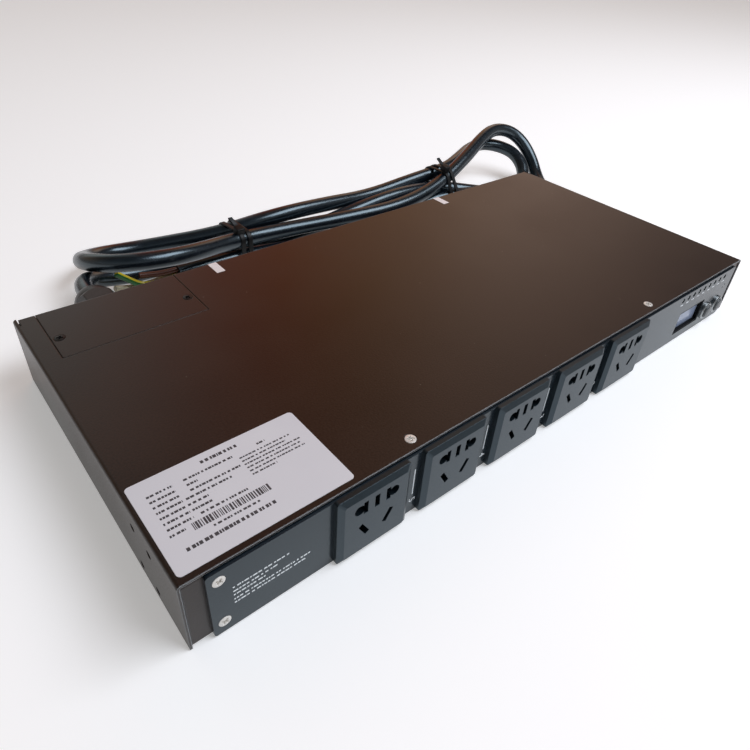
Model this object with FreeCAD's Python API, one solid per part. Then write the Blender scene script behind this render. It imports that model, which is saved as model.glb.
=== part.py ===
import FreeCAD, Part
import math
import os

# Rack power strip one unit high: a folded steel tray under a folded steel cover, a front plate with
# five socket outlets, a small display, nine lamps and two push buttons, and a tied mains lead behind.
# Millimetres. X runs to the right seen from the front, Y to the back, Z up; Z = 0 is the underside.

V = FreeCAD.Vector

# Case
case_width = 440.0
case_depth = 205.0
case_height = 42.0
sheet = 1.2
bend_out = 1.8
slip = 0.25
tray_flange = 13.0
side_flange = 10.0
rear_lip = 10.0
lip_run = 8.0
relief = 0.8

# Front plate and its set-back behind the cover's edge
plate_end = 10.0
plate_width = case_width - 2 * plate_end
plate_low = 0.5
plate_high = 40.2
plate_thick = 2.2
plate_corner = 1.5
plate_back = 0.7
plate_screw_in = 5.1
plate_screw_x = -plate_width / 2 + plate_screw_in
plate_screw_z = (7.1, 34.2)
pin_radius = 0.6
pin_deep = 1.4
pin_places = ((202.0, 27.8), (199.6, 26.0))

# Socket outlets
socket_count = 5
socket_first_x = -131.4
socket_pitch = 50.0
socket_z = 20.65
socket_wide = 41.0
socket_tall = 40.8
socket_corner = 1.2
socket_wall = 2.45
socket_proud = 4.2
socket_bevel = 2.8
body_wide = 36.0
body_tall = 34.0
body_deep = 24.0
body_wall = 2.0
face_thick = 4.5
fit = 0.2
slot_rise = 10.85
earth_wide = 2.7
slot_wide = 2.4
slot_tall = 7.3
flat_apart = 6.35
lobe_apart = 9.7
lobe_radius = 2.8
slant_apart = 6.86
slant_drop = 3.55
slant_long = 8.2
slant_wide = 2.6
slant_tilt = 30.0
barb_out = 1.1
barb_long = 5.0
barb_tall = 8.0

# Contacts and bars behind the sockets
leaf = 0.7
leaf_gap = 1.7
leaf_deep = 11.0
strap = 0.8
tail_wide = 5.0
bar_z = (9.0, 20.65, 31.5)
bar_tall = 6.0
bar_thick = 2.0
tail_out = 4.0

# Display, lamps and buttons
display_x = 158.0
display_z = 15.5
window_wide = 34.0
window_tall = 17.6
glass_lap_x = 0.7
glass_lap_z = 1.2
glass_wide = window_wide + 2 * glass_lap_x
glass_tall = window_tall + 2 * glass_lap_z
glass_thick = 2.8
glass_back = 2.9
frame_wall = 0.9
frame_set = 0.3
backlight_lap = 2.0
backlight_tall = glass_tall + 2 * backlight_lap
lamp_count = 9
lamp_first_x = 136.8
lamp_pitch = 7.3
lamp_z = 36.3
lamp_radius = 1.5
lamp_hole = lamp_radius + fit
lamp_long = 5.0
holder_under = 2.7
holder_gap = 0.35
button_x = (183.0, 199.0)
button_z = 12.2
head_radius = 4.75
stem_radius = 3.8
head_proud = 3.6
button_travel = 1.0
run_gap = 0.3
recess_radius = head_radius + run_gap
bezel_rim = 1.45
bezel_radius = recess_radius + bezel_rim
bezel_proud = 2.0
bore_radius = stem_radius + run_gap
barrel_wall = 0.9
barrel_radius = bore_radius + barrel_wall
nut_wall = 1.0
nut_flats = 2 * (barrel_radius + nut_wall)
nut_thick = 2.5
panel_x = 172.0
panel_z = 20.5
panel_wide = 80.0
panel_tall = 35.0
panel_board_y = 11.0
post_edge = 2.9
post_z = (6.0, 28.5)
board_thick = 1.6

# Top: screws, label, seals and the cover over the terminals
top_screw_x = 102.5
top_screw_in = 6.5
screw_radius = 1.5
head_top = 2.8
head_deep = 1.7
label_side = 2.3
label_in = 28.7
label_wide = 80.6
label_x = -case_width / 2 + label_side + label_wide / 2
label_deep = 51.0
label_corner = 2.0
film = 0.15
seal_x = (-100.5, 102.6)
seal_wide = 5.8
seal_top = 14.5
gland_x = -170.0
access_left = gland_x - 39.0
access_right = gland_x + 43.0
access_deep = 49.5
access_gap = 0.4
access_edge = 4.4
access_screw_x = (access_left + access_edge, access_right - access_edge)
access_screw_in = 30.6
ledge = 8.0
ledge_out = 6.0
lip_screw_x = (-112.0, 200.0)
lip_screw_drop = 6.0

# Threaded holes for rack ears in both sides
ear_in = 36.0
ear_apart = 16.0
ear_low = 5.1
ear_rise = 25.0
ear_hole = 2.0
ear_nut = 3.5
ear_nut_long = 3.0

# Mains lead and its three cores
lead = 12.5
core = 4.4

# Cable gland in the rear wall, sized round the lead
gland_z = 22.0
gland_shank = 11.2
gland_clear = 0.3
gland_hole = gland_shank + gland_clear
lead_room = 0.75
gland_bore = lead / 2 + lead_room
seal_wall = 2.95
seal_radius = lead / 2 + seal_wall
seal_squeeze = 0.15
exit_clear = 0.35
exit_radius = lead / 2 + exit_clear
tip_wall = 1.8
dome_tip = exit_radius + tip_wall
gland_flats = 27.0
gland_hex = 5.0
gland_barrel = 12.4
barrel_long = 21.0
seat_deep = 7.0
seal_long = 8.0
gland_end = 34.0
dome_start = 25.0
nut_clear = 0.25

# Network jack in the rear wall
jack_x = 60.0
jack_wide = 16.0
jack_tall = 13.5
jack_deep = 21.0
port_wide = 11.9
port_tall = 8.2
port_deep = 14.0
latch_wide = 6.2
latch_tall = 2.6
jack_board_z = 9.0

# Depths of the main faces. The whole depth, with the sockets and the seals, is centred on Y = 0.
bend_in = bend_out - sheet
plate_proud = plate_thick - plate_back
whole_depth = case_depth + plate_proud + socket_proud + film
y_edge = -whole_depth / 2 + plate_proud + socket_proud
y_back = y_edge + case_depth
y_wall = y_edge + plate_back
y_plate = y_wall - plate_thick
y_rear = y_back - sheet - slip
y_in = y_wall + sheet
tray_half = case_width / 2 - sheet - slip
tray_top = case_height - sheet - slip
y_access = y_back - access_deep
sockets_x = [socket_first_x + socket_pitch * i for i in range(socket_count)]


def box(x0, x1, y0, y1, z0, z1):
    """Box between two corners."""
    return Part.makeBox(x1 - x0, y1 - y0, z1 - z0, V(x0, y0, z0))


def rod(radius, start, end):
    """Cylinder from one point to another."""
    run = V(*end) - V(*start)
    return Part.makeCylinder(radius, run.Length, V(*start), run)


def rounded_wire(points, radii, closed):
    """Straight legs through the points, with a tangent arc of the given radius at each corner."""
    pts = [V(*p) for p in points]
    count = len(pts)
    ends = []
    for i in range(count):
        inner = closed or 0 < i < count - 1
        if not inner or radii[i] == 0:
            ends.append((pts[i], None, pts[i]))
            continue
        before = (pts[i - 1] - pts[i]).normalize()
        after = (pts[(i + 1) % count] - pts[i]).normalize()
        half = (math.pi - before.getAngle(after)) / 2
        reach = radii[i] * math.tan(half)
        rise = radii[i] / math.cos(half) - radii[i]
        middle = pts[i] + (before + after).normalize() * rise
        ends.append((pts[i] + before * reach, middle, pts[i] + after * reach))
    edges = []
    for i in range(count):
        first, middle, last = ends[i]
        if middle:
            edges.append(Part.Arc(first, middle, last).toShape())
        if closed or i < count - 1:
            following = ends[(i + 1) % count][0]
            edges.append(Part.LineSegment(last, following).toShape())
    return Part.Wire(edges)


def profile(points, radii, run):
    """Closed outline with rounded corners, pushed along a direction."""
    return Part.Face(rounded_wire(points, radii, True)).extrude(V(*run))


def upright(cx, cz, wide, tall, corner, y0, y1):
    """Rounded rectangle standing in the plane of the front, from depth y0 to y1."""
    a, b = wide / 2, tall / 2
    pts = [(cx - a, y0, cz - b), (cx + a, y0, cz - b), (cx + a, y0, cz + b), (cx - a, y0, cz + b)]
    return profile(pts, [corner] * 4, (0, y1 - y0, 0))


def turned(points, centre, axis):
    """Closed outline turned a full circle about an axis."""
    face = Part.Face(Part.makePolygon([V(*p) for p in points + points[:1]]))
    return face.revolve(V(*centre), V(*axis), 360)


def hexagon(flats, cx, y0, y1, cz):
    """Hexagonal prism along Y, with the given width across flats."""
    reach = flats / 2 / math.cos(math.pi / 6)
    turns = [math.pi / 3 * k for k in range(6)]
    pts = [(cx + reach * math.cos(t), y0, cz + reach * math.sin(t)) for t in turns]
    return profile(pts, [0.4] * 6, (0, y1 - y0, 0))


def joined(first, others):
    """One solid from pieces that overlap or share faces."""
    return first.fuse(others).removeSplitter()


def screw(point, axis, long):
    """Countersunk screw: a flat head, a cone and a plain shank."""
    head = Part.makeCone(head_top, screw_radius, head_deep, V(*point), V(*axis))
    shank = Part.makeCylinder(screw_radius, long, V(*point), V(*axis))
    return head.fuse(shank).removeSplitter()


def screw_hole(point, axis, long):
    """Countersunk hole around a screw with the fit's clearance."""
    ahead = V(*point) - V(*axis) * 0.5
    mouth = Part.makeCylinder(head_top + fit, 0.5, ahead, V(*axis))
    head = Part.makeCone(head_top + fit, screw_radius + fit, head_deep, V(*point), V(*axis))
    shank = Part.makeCylinder(screw_radius + fit, long, V(*point), V(*axis))
    return mouth.fuse([head, shank])


def lead_wire(points):
    """Route of a cord: each corner's radius follows from its shorter leg and its turn."""
    pts = [V(*p) for p in points]
    radii = [0.0] * len(pts)
    for i in range(1, len(pts) - 1):
        before = pts[i] - pts[i - 1]
        after = pts[i + 1] - pts[i]
        turn = before.getAngle(after)
        radii[i] = 0.45 * min(before.Length, after.Length) / math.tan(turn / 2)
    print("cord bend radii in mm:", [round(r) for r in radii[1:-1]])
    return rounded_wire(points, radii, False)


def tube(points, size):
    """Round cord of the given size along its route."""
    wire = lead_wire(points)
    start = V(*points[0])
    ring = Part.Wire(Part.makeCircle(size / 2, start, V(*points[1]) - start))
    cord = wire.makePipeShell([ring], True, False)
    expected = math.pi * size ** 2 / 4 * wire.Length
    print("cord volume over section by length:", round(cord.Volume / expected, 4))
    return cord


def behind(points):
    """Cord points whose depth is counted from the case's back face."""
    return [(x, y_back + y, z) for x, y, z in points]


# Tray: floor, front wall, rear wall and top flanges in one folded profile
def make_tray():
    low, high = y_wall, y_rear
    top, under = tray_top, tray_top - sheet
    pts = [(low + tray_flange, top), (low, top), (low, 0), (high, 0), (high, top)]
    pts += [(high - tray_flange, top), (high - tray_flange, under), (high - sheet, under)]
    pts += [(high - sheet, sheet), (low + sheet, sheet), (low + sheet, under), (low + tray_flange, under)]
    radii = [0] + [bend_out] * 4 + [0, 0] + [bend_in] * 4 + [0]
    tray = profile([(-tray_half, y, z) for y, z in pts], radii, (2 * tray_half, 0, 0))
    start, end = y_wall + sheet + relief + bend_in, y_rear - sheet - relief - bend_in
    sides = []
    for side in (-1, 1):
        edge = side * tray_half
        strip = sorted((edge - side * lip_run, edge + side))
        tray = tray.cut(box(strip[0], strip[1], start, end, -1, sheet + 1))
        pts = [(edge - side * lip_run, 0), (edge, 0), (edge, side_flange), (edge - side * sheet, side_flange)]
        pts += [(edge - side * sheet, sheet), (edge - side * lip_run, sheet)]
        radii = [0, bend_out, 0, 0, bend_in, 0]
        sides.append(profile([(x, start, z) for x, z in pts], radii, (0, end - start, 0)))
    tray = joined(tray, sides)
    cuts = [upright(x, socket_z, body_wide + 2 * fit, body_tall + 2 * fit, 1.0, y_wall - 1, y_in + 1)
            for x in sockets_x]
    wide, tall = glass_wide + 2 * fit, glass_tall + 2 * fit
    cuts.append(upright(display_x, display_z, wide, tall, 0.5, y_wall - 1, y_in + 1))
    for i in range(lamp_count):
        x = lamp_first_x + lamp_pitch * i
        cuts.append(rod(lamp_hole + fit, (x, y_wall - 1, lamp_z), (x, y_in + 1, lamp_z)))
    for x in button_x:
        cuts.append(rod(barrel_radius + fit, (x, y_wall - 1, button_z), (x, y_in + 1, button_z)))
    for z in plate_screw_z:
        cuts.append(rod(screw_radius + fit, (plate_screw_x, y_wall - 1, z), (plate_screw_x, y_in + 1, z)))
    cuts.append(rod(gland_hole, (gland_x, y_rear - sheet - 1, gland_z), (gland_x, y_rear + 1, gland_z)))
    jack_mid = jack_board_z + board_thick + jack_tall / 2
    wide, tall = jack_wide + 2 * fit, jack_tall + 2 * fit
    cuts.append(upright(jack_x, jack_mid, wide, tall, 0, y_rear - sheet - 1, y_rear + 1))
    for x in (-top_screw_x, top_screw_x):
        y = y_edge + top_screw_in
        cuts.append(rod(screw_radius + fit, (x, y, under - 1), (x, y, top + 1)))
    for x in lip_screw_x:
        z = case_height - lip_screw_drop
        cuts.append(rod(screw_radius + fit, (x, y_rear - sheet - 1, z), (x, y_rear + 1, z)))
    reach = ledge_out + 1.5
    cuts.append(box(access_left - reach, access_right + reach, y_rear - tray_flange - 1, y_rear - sheet - 0.2,
                    under - 1, top + 1))
    y = y_edge + ear_in
    span = ear_apart / 2 + ear_nut + 1
    for side in (-1, 1):
        strip = sorted((side * (tray_half - sheet - 1), side * (tray_half + 1)))
        cuts.append(box(strip[0], strip[1], y - span, y + span, sheet + fit, side_flange + 1))
    return tray.cut(cuts)


# Cover: top and two sides in one folded profile, with a lip bent down over the rear wall
def make_cover():
    half, top = case_width / 2, case_height
    pts = [(-half, 0), (-half, top), (half, top), (half, 0), (half - sheet, 0), (half - sheet, top - sheet)]
    pts += [(-half + sheet, top - sheet), (-half + sheet, 0)]
    radii = [0, bend_out, bend_out, 0, 0, bend_in, bend_in, 0]
    cover = profile([(x, y_edge, z) for x, z in pts], radii, (0, case_depth, 0))
    wing = half - bend_out - relief
    reach, start = wing + relief, y_back - lip_run
    cover = cover.cut(box(-reach, reach, start, y_back + 1, top - sheet - 1, top + 1))
    cover = joined(cover, [make_lip(-wing, wing, start)])
    cuts = []
    cuts.append(box(access_left, access_right, y_access, y_back + 1, top - rear_lip - 1, top + 1))
    for x in (-top_screw_x, top_screw_x):
        cuts.append(screw_hole((x, y_edge + top_screw_in, top), (0, 0, -1), 3))
    for x in lip_screw_x:
        cuts.append(screw_hole((x, y_back, top - lip_screw_drop), (0, -1, 0), 3))
    for side in (-1, 1):
        for y, z in ear_places():
            cuts.append(rod(ear_hole, (side * (half - sheet - 1), y, z), (side * (half + 1), y, z)))
    return cover.cut(cuts)


def make_lip(x0, x1, y0):
    """Flat strip of the top that turns down over the rear wall."""
    top = case_height
    pts = [(y0, top), (y_back, top), (y_back, top - rear_lip), (y_back - sheet, top - rear_lip)]
    pts += [(y_back - sheet, top - sheet), (y0, top - sheet)]
    return profile([(x0, y, z) for y, z in pts], [0, bend_out, 0, 0, bend_in, 0], (x1 - x0, 0, 0))


def ear_places():
    """Depth and height of the four threaded holes in a side."""
    mid = y_edge + ear_in
    return [(mid + k * ear_apart / 2, ear_low + j * ear_rise) for k in (-1, 1) for j in (0, 1)]


def make_access_cover():
    plate = make_lip(access_left + access_gap, access_right - access_gap, y_access + access_gap)
    cuts = [screw_hole((x, y_back - access_screw_in, case_height), (0, 0, -1), 3) for x in access_screw_x]
    round_gland = gland_flats / 2 / math.cos(math.pi / 6) + 0.6
    cuts.append(rod(round_gland, (gland_x, y_back - 3, gland_z), (gland_x, y_back + 1, gland_z)))
    return plate.cut(cuts)


def make_access_ledge():
    top = case_height - sheet
    end = y_rear - sheet - 0.4
    x0, x1, y0 = access_left - ledge_out, access_right + ledge_out, y_access - ledge_out
    x2, x3, y2 = access_left + ledge, access_right - ledge, y_access + ledge
    pts = [(x0, y0), (x1, y0), (x1, end), (x3, end), (x3, y2), (x2, y2), (x2, end), (x0, end)]
    frame = profile([(x, y, top - sheet) for x, y in pts], [2, 2, 0, 0, 2, 2, 0, 0], (0, 0, sheet))
    y = y_back - access_screw_in
    holes = [screw_hole((x, y, case_height), (0, 0, -1), 4) for x in access_screw_x]
    return frame.cut(holes)


def make_front_plate():
    middle = (plate_low + plate_high) / 2
    plate = upright(0, middle, plate_width, plate_high - plate_low, plate_corner, y_plate, y_wall)
    cuts = [upright(x, socket_z, body_wide + 2 * fit, body_tall + 2 * fit, 1.0, y_plate - 1, y_wall + 1)
            for x in sockets_x]
    cuts.append(upright(display_x, display_z, window_wide, window_tall, 0.5, y_plate - 1, y_wall + 1))
    for i in range(lamp_count):
        x = lamp_first_x + lamp_pitch * i
        cuts.append(rod(lamp_hole, (x, y_plate - 1, lamp_z), (x, y_wall + 1, lamp_z)))
    for x in button_x:
        cuts.append(rod(barrel_radius + fit, (x, y_plate - 1, button_z), (x, y_wall + 1, button_z)))
    for z in plate_screw_z:
        cuts.append(screw_hole((plate_screw_x, y_plate, z), (0, 1, 0), 5))
    for x, z in pin_places:
        cuts.append(rod(pin_radius, (x, y_plate - 1, z), (x, y_plate + pin_deep, z)))
    return plate.cut(cuts)


# Socket: a bevelled moulding on the plate, with a hollow body that snaps in behind the front wall
def make_socket(cx):
    wall_y, face_y = y_plate - socket_wall, y_plate - socket_proud
    end = y_plate + body_deep
    moulding = upright(cx, socket_z, socket_wide, socket_tall, socket_corner, y_plate, wall_y)
    outlines = []
    for y, less in ((wall_y, 0), (face_y, 2 * socket_bevel)):
        a, b = (socket_wide - less) / 2, (socket_tall - less) / 2
        corners = [(-a, -b), (a, -b), (a, b), (-a, b)]
        pts = [(cx + dx, y, socket_z + dz) for dx, dz in corners]
        outlines.append(rounded_wire(pts, [socket_corner] * 4, True))
    bevel = Part.makeLoft(outlines, True, True)
    body = upright(cx, socket_z, body_wide, body_tall, 1.0, y_plate, end)
    barbs = []
    for side in (-1, 1):
        x = cx + side * (body_wide / 2)
        y0 = y_in + 0.1
        pts = [(x, y0), (x + side * barb_out, y0), (x, y0 + barb_long)]
        low = socket_z - barb_tall / 2
        barbs.append(profile([(px, py, low) for px, py in pts], [0] * 3, (0, 0, barb_tall)))
    solid = joined(moulding, [bevel, body] + barbs)
    hollow = upright(cx, socket_z, body_wide - 2 * body_wall, body_tall - 2 * body_wall, 1.0,
                     face_y + face_thick, end - body_wall)
    cuts = [hollow]
    deep = (face_y - 1, face_y + face_thick + 1)
    rise = socket_z + slot_rise
    cuts.append(upright(cx, rise, earth_wide, slot_tall, 0.2, deep[0], deep[1]))
    for side in (-1, 1):
        cuts.append(upright(cx + side * flat_apart, rise, slot_wide, slot_tall, 0.2, deep[0], deep[1]))
        lobe_x = cx + side * lobe_apart
        cuts.append(rod(lobe_radius, (lobe_x, deep[0], rise), (lobe_x, deep[1], rise)))
        bridge = sorted((cx + side * flat_apart, lobe_x))
        cuts.append(box(bridge[0], bridge[1], deep[0], deep[1], rise - 1.2, rise + 1.2))
        slant_x, slant_z = cx + side * slant_apart, socket_z - slant_drop
        slant = upright(slant_x, slant_z, slant_wide, slant_long, 0.2, deep[0], deep[1])
        slant.rotate(V(slant_x, 0, slant_z), V(0, 1, 0), side * slant_tilt)
        cuts.append(slant)
    for x, z in tail_places(cx):
        a, b = tail_wide / 2 + fit, strap / 2 + fit
        cuts.append(box(x - a, x + a, end - body_wall - 1, end + 1, z - b, z + b))
    return solid.cut(cuts)


def tail_places(cx):
    """Where the neutral, live and earth tails leave the back of a socket."""
    return [(cx - flat_apart, bar_z[0]), (cx + flat_apart, bar_z[1]), (cx, bar_z[2])]


def make_clip(cx, cz, tall, tilt):
    """Sprung clip of two leaves behind a slot."""
    y0 = y_plate - socket_proud + face_thick + 0.6
    a = leaf_gap / 2 + leaf
    pts = [(cx - a, y0), (cx - leaf_gap / 2, y0), (cx - leaf_gap / 2, y0 + leaf_deep - leaf)]
    pts += [(cx + leaf_gap / 2, y0 + leaf_deep - leaf), (cx + leaf_gap / 2, y0), (cx + a, y0)]
    pts += [(cx + a, y0 + leaf_deep), (cx - a, y0 + leaf_deep)]
    radii = [0, 0, 0.3, 0.3, 0, 0, 0.8, 0.8]
    clip = profile([(x, y, cz - tall / 2) for x, y in pts], radii, (0, 0, tall))
    clip.rotate(V(cx, 0, cz), V(0, 1, 0), tilt)
    return clip


def make_contacts(cx):
    y0 = y_plate - socket_proud + face_thick + 0.6 + leaf_deep
    bar_y = y_plate + body_deep + tail_out
    rise = socket_z + slot_rise
    solids = []
    places = tail_places(cx)
    for side, (x, z) in ((-1, places[0]), (1, places[1])):
        flat = make_clip(cx + side * flat_apart, rise, slot_tall - 1, 0)
        slant = make_clip(cx + side * slant_apart, socket_z - slant_drop, slant_long - 1, side * slant_tilt)
        link = box(x - 1.5, x + 1.5, y0 - 0.2, y0 + strap, min(z, socket_z - slant_drop) - 1, rise + 2)
        tail = box(x - tail_wide / 2, x + tail_wide / 2, y0, bar_y, z - strap / 2, z + strap / 2)
        solids.append(joined(link, [flat, slant, tail]))
    earth = make_clip(cx, rise, slot_tall - 1, 0)
    x, z = places[2]
    tail = box(x - tail_wide / 2, x + tail_wide / 2, y0 - 0.3, bar_y, z - strap / 2, z + strap / 2)
    solids.append(joined(earth, [tail]))
    return Part.makeCompound(solids)


def make_bars():
    y0 = y_plate + body_deep + tail_out
    x0, x1 = sockets_x[0] - 20, sockets_x[-1] + 20
    bars = []
    for z in bar_z:
        bar = upright((x0 + x1) / 2, z, x1 - x0, bar_tall, 1.0, y0, y0 + bar_thick)
        holes = [rod(1.7, (x, y0 - 1, z), (x, y0 + bar_thick + 1, z)) for x in (x0 + 6, x1 - 6)]
        bars.append(bar.cut(holes))
    return Part.makeCompound(bars)


def make_bar_holder(x):
    """Moulded comb that carries the three bars clear of the floor."""
    y0 = y_plate + body_deep + tail_out
    high = bar_z[2] + bar_tall / 2 + 3
    pts = [(y0 - 1.5, sheet), (y0 + 14, sheet), (y0 + 14, sheet + 3), (y0 + bar_thick + 5, sheet + 3)]
    pts += [(y0 + bar_thick + 4, high), (y0 - 1.5, high)]
    comb = profile([(x - 4, y, z) for y, z in pts], [0, 0, 0.5, 2, 1, 1], (8, 0, 0))
    grooves = [box(x - 5, x + 5, y0, y0 + bar_thick, z - bar_tall / 2, z + bar_tall / 2) for z in bar_z]
    mouths = [box(x - 5, x + 5, y0 - 2, y0, z - bar_tall / 2 + 0.8, z + bar_tall / 2 - 0.8) for z in bar_z]
    return comb.cut(grooves + mouths)


def make_bar_holders():
    return Part.makeCompound([make_bar_holder(sockets_x[0] - 15), make_bar_holder(sockets_x[-1] + 15)])


# Display and lamps on an upright board behind the front wall
def make_panel_board():
    y0 = y_wall + panel_board_y
    board = upright(panel_x, panel_z, panel_wide, panel_tall, 1.0, y0, y0 + board_thick)
    holes = [rod(1.6, (x, y0 - 1, z), (x, y0 + board_thick + 1, z)) for x, z in panel_posts()]
    return board.cut(holes)


def panel_posts():
    """Places of the posts that hold the upright board."""
    reach = panel_wide / 2 - post_edge
    return [(panel_x + side * reach, z) for z in post_z for side in (-1, 1)]


def make_panel_posts():
    posts = []
    for x, z in panel_posts():
        post = hexagon(5.0, x, y_in, y_wall + panel_board_y, z)
        posts.append(post.cut(rod(1.25, (x, y_in + 2, z), (x, y_wall + panel_board_y + 1, z))))
    return Part.makeCompound(posts)


def make_glass():
    y0 = y_plate + glass_back
    return upright(display_x, display_z, glass_wide, glass_tall, 0.3, y0, y0 + glass_thick)


def make_display_frame():
    """Black collar that lines the window, from just inside the plate's face back to the glass."""
    y0, y1 = y_plate + frame_set, y_plate + glass_back
    wide, tall = window_wide - 2 * fit, window_tall - 2 * fit
    collar = upright(display_x, display_z, wide, tall, 0.5, y0, y1)
    opening = upright(display_x, display_z, wide - 2 * frame_wall, tall - 2 * frame_wall, 0.5, y0 - 1, y1 + 1)
    return collar.cut(opening)


def make_backlight():
    y0 = y_plate + glass_back + glass_thick
    y1 = y_wall + panel_board_y
    block = upright(display_x, display_z, glass_wide, backlight_tall, 0.8, y0, y1)
    return block.makeChamfer(0.6, [e for e in block.Edges if abs(e.CenterOfMass.y - y0) < 0.01])


def make_lamps():
    tip = y_plate + 0.35
    lamps = []
    for i in range(lamp_count):
        x = lamp_first_x + lamp_pitch * i
        dome = Part.makeSphere(lamp_radius, V(x, tip + lamp_radius, lamp_z))
        barrel = rod(lamp_radius, (x, tip + lamp_radius, lamp_z), (x, tip + lamp_long, lamp_z))
        rim = rod(lamp_radius + 0.35, (x, tip + lamp_long - 0.8, lamp_z), (x, tip + lamp_long, lamp_z))
        lamps.append(joined(barrel, [dome, rim]))
    return Part.makeCompound(lamps)


def make_lamp_holder():
    y0 = y_plate + 0.35 + lamp_long
    y1 = y_wall + panel_board_y
    wide = lamp_pitch * (lamp_count - 1) + 5
    middle = lamp_first_x + lamp_pitch * (lamp_count - 1) / 2
    low, top = lamp_z - holder_under, tray_top - sheet - holder_gap
    return upright(middle, (low + top) / 2, wide, top - low, 1.0, y0, y1)


# Push button: a fixed bezel with a threaded barrel, and a domed head on a stem that slides in it
def make_bezel(x):
    front = y_plate - bezel_proud
    end = y_in + nut_thick + 1.0
    pts = [(bore_radius, y_plate), (recess_radius, y_plate), (recess_radius, front)]
    pts += [(bezel_radius - 0.7, front), (bezel_radius, front + 0.7), (bezel_radius, y_plate)]
    pts += [(barrel_radius, y_plate), (barrel_radius, end), (bore_radius, end)]
    return turned([(x + r, y, button_z) for r, y in pts], (x, 0, button_z), (0, 1, 0))


def make_cap(x):
    front = y_plate - head_proud
    under = y_plate - button_travel - run_gap
    edge = head_radius - 0.9
    end = y_in + nut_thick
    pts = [(0, front), (edge * 0.5, front + 0.08), (edge, front + 0.35), (head_radius - 0.25, front + 0.8)]
    pts += [(head_radius, front + 1.3), (head_radius, under), (stem_radius, under)]
    pts += [(stem_radius, end), (0, end)]
    return turned([(x + r, y, button_z) for r, y in pts], (x, 0, button_z), (0, 1, 0))


def make_button_nuts():
    nuts = []
    for x in button_x:
        nut = hexagon(nut_flats, x, y_in, y_in + nut_thick, button_z)
        thread = rod(barrel_radius + 0.1, (x, y_in - 1, button_z), (x, y_in + nut_thick + 1, button_z))
        nuts.append(nut.cut(thread))
    return Part.makeCompound(nuts)


def make_switches():
    y1 = y_wall + panel_board_y
    stem_end = y_in + nut_thick
    switches = []
    for x in button_x:
        body = upright(x, button_z, 6.0, 6.0, 0.5, y1 - 3.4, y1)
        plunger = rod(1.7, (x, stem_end + button_travel + run_gap, button_z), (x, y1 - 3.0, button_z))
        switches.append(joined(body, [plunger]))
    return Part.makeCompound(switches)


# Gland: body through the rear wall, lock nut inside, domed cap nut and sealing ring outside
def make_gland_body():
    hexa = hexagon(gland_flats, gland_x, y_rear, y_rear + gland_hex, gland_z)
    shank = rod(gland_shank, (gland_x, y_rear - sheet - 9, gland_z), (gland_x, y_rear, gland_z))
    barrel_end = y_rear + barrel_long
    barrel = rod(gland_barrel, (gland_x, y_rear, gland_z), (gland_x, barrel_end, gland_z))
    body = joined(hexa, [shank, barrel])
    bore = rod(gland_bore, (gland_x, y_rear - 20, gland_z), (gland_x, barrel_end + 1, gland_z))
    seat = rod(seal_radius + fit, (gland_x, barrel_end - seat_deep, gland_z), (gland_x, barrel_end + 1, gland_z))
    return body.cut([bore, seat])


def make_gland_nut():
    start = y_rear + gland_hex + 0.4
    end = y_back + gland_end
    turn = y_back + dome_start
    outer = gland_flats / 2
    inside = gland_barrel + nut_clear
    crown = hexagon(gland_flats, gland_x, start, turn - 4, gland_z)
    limit = [(0, start), (outer + 0.6, start), (outer + 1.9, start + 1.3), (outer + 1.9, turn - 8)]
    limit += [(outer, turn - 4), (0, turn - 4)]
    limit = [(gland_x + r, y, gland_z) for r, y in limit]
    crown = crown.common(turned(limit, (gland_x, 0, gland_z), (0, 1, 0)))
    bulge = outer - 1.4
    base = V(gland_x + outer, turn - 4, gland_z)
    middle = V(gland_x + bulge, turn + 2.4, gland_z)
    tip = V(gland_x + dome_tip, end, gland_z)
    edges = [Part.Arc(base, middle, tip).toShape()]
    edges.append(Part.LineSegment(tip, V(gland_x, end, gland_z)).toShape())
    edges.append(Part.LineSegment(V(gland_x, end, gland_z), V(gland_x, turn - 4, gland_z)).toShape())
    edges.append(Part.LineSegment(V(gland_x, turn - 4, gland_z), base).toShape())
    dome = Part.Face(Part.Wire(edges)).revolve(V(gland_x, 0, gland_z), V(0, 1, 0), 360)
    nut = joined(crown, [dome])
    step = y_rear + barrel_long + 0.6
    cavity = rod(inside, (gland_x, start - 1, gland_z), (gland_x, step, gland_z))
    cone = Part.makeCone(inside - 1.2, exit_radius, end - 4 - step, V(gland_x, step, gland_z), V(0, 1, 0))
    mouth = rod(exit_radius, (gland_x, end - 5, gland_z), (gland_x, end + 1, gland_z))
    return nut.cut([cavity, cone, mouth])


def make_gland_seal():
    start = y_rear + barrel_long - seat_deep
    end = start + seal_long
    ring = rod(seal_radius, (gland_x, start, gland_z), (gland_x, end, gland_z))
    inside = lead / 2 - seal_squeeze
    return ring.cut(rod(inside, (gland_x, start - 1, gland_z), (gland_x, end + 1, gland_z)))


def make_gland_locknut():
    y1 = y_rear - sheet
    nut = hexagon(gland_flats + 1, gland_x, y1 - 5, y1, gland_z)
    return nut.cut(rod(gland_shank + 0.1, (gland_x, y1 - 6, gland_z), (gland_x, y1 + 1, gland_z)))


# Network jack on its own board behind the rear wall
def make_jack():
    z0 = jack_board_z + board_thick
    face = y_rear + 0.4
    middle = z0 + jack_tall / 2
    shell = upright(jack_x, middle, jack_wide, jack_tall, 0.5, face - jack_deep, face)
    port_z = z0 + 1.6 + port_tall / 2
    port = upright(jack_x, port_z, port_wide, port_tall, 0.2, face - port_deep, face + 1)
    latch_z = port_z + (port_tall + latch_tall) / 2 - 0.1
    latch = upright(jack_x, latch_z, latch_wide, latch_tall, 0.2, face - port_deep, face + 1)
    return shell.cut([port, latch])


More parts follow.
